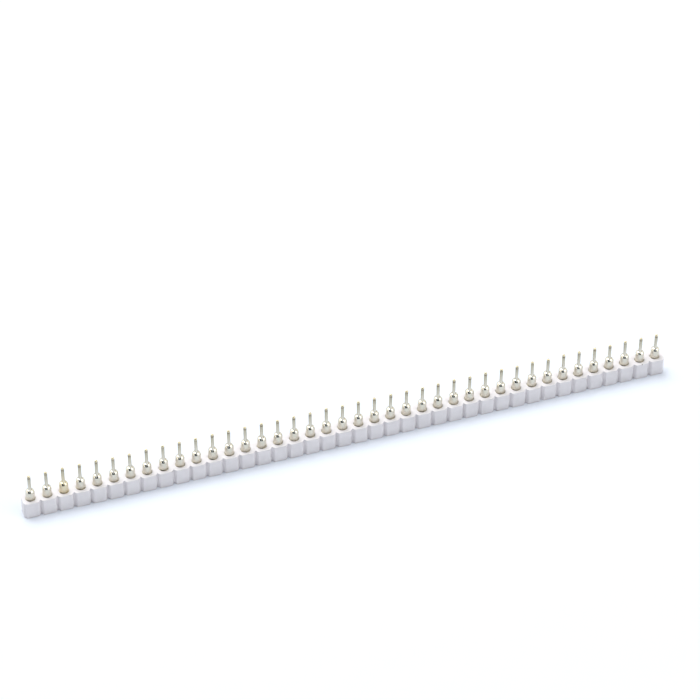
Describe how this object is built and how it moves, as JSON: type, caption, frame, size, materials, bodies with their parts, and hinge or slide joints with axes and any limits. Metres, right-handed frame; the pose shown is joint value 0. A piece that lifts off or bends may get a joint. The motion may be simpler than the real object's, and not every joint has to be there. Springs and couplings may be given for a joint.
{
  "type": "turned pin socket strip",
  "caption": "Single-row socket strip: a white breakaway plastic body carries a row of turned metal sleeves with spring contacts inside and thin round solder tails.",
  "frame": {"origin": "middle of the socket face, half way along the row, on the plane that the strip lies on", "axes": "+X along the row of contacts, +Y across the body, +Z from the socket face to the solder tails"},
  "size_m": [0.1016, 0.0026, 0.0074],
  "materials": {
    "white_plastic": "satin moulded thermoplastic",
    "plated_sleeve": "tin-plated turned brass with a slight warm tint",
    "spring_contact": "gold-flashed spring copper alloy"
  },
  "bodies": {
    "root": {"insulator": "white_plastic", "sleeve_01": "plated_sleeve", "sleeve_02": "plated_sleeve", "sleeve_03": "plated_sleeve", "sleeve_04": "plated_sleeve", "sleeve_05": "plated_sleeve", "sleeve_06": "plated_sleeve", "sleeve_07": "plated_sleeve", "sleeve_08": "plated_sleeve", "sleeve_09": "plated_sleeve", "sleeve_10": "plated_sleeve", "sleeve_11": "plated_sleeve", "sleeve_12": "plated_sleeve", "sleeve_13": "plated_sleeve", "sleeve_14": "plated_sleeve", "sleeve_15": "plated_sleeve", "sleeve_16": "plated_sleeve", "sleeve_17": "plated_sleeve", "sleeve_18": "plated_sleeve", "sleeve_19": "plated_sleeve", "sleeve_20": "plated_sleeve", "sleeve_21": "plated_sleeve", "sleeve_22": "plated_sleeve", "sleeve_23": "plated_sleeve", "sleeve_24": "plated_sleeve", "sleeve_25": "plated_sleeve", "sleeve_26": "plated_sleeve", "sleeve_27": "plated_sleeve", "sleeve_28": "plated_sleeve", "sleeve_29": "plated_sleeve", "sleeve_30": "plated_sleeve", "sleeve_31": "plated_sleeve", "sleeve_32": "plated_sleeve", "sleeve_33": "plated_sleeve", "sleeve_34": "plated_sleeve", "sleeve_35": "plated_sleeve", "sleeve_36": "plated_sleeve", "sleeve_37": "plated_sleeve", "sleeve_38": "plated_sleeve", "sleeve_39": "plated_sleeve", "sleeve_40": "plated_sleeve", "contact_clips": "spring_contact"}
  },
  "joints": []
}
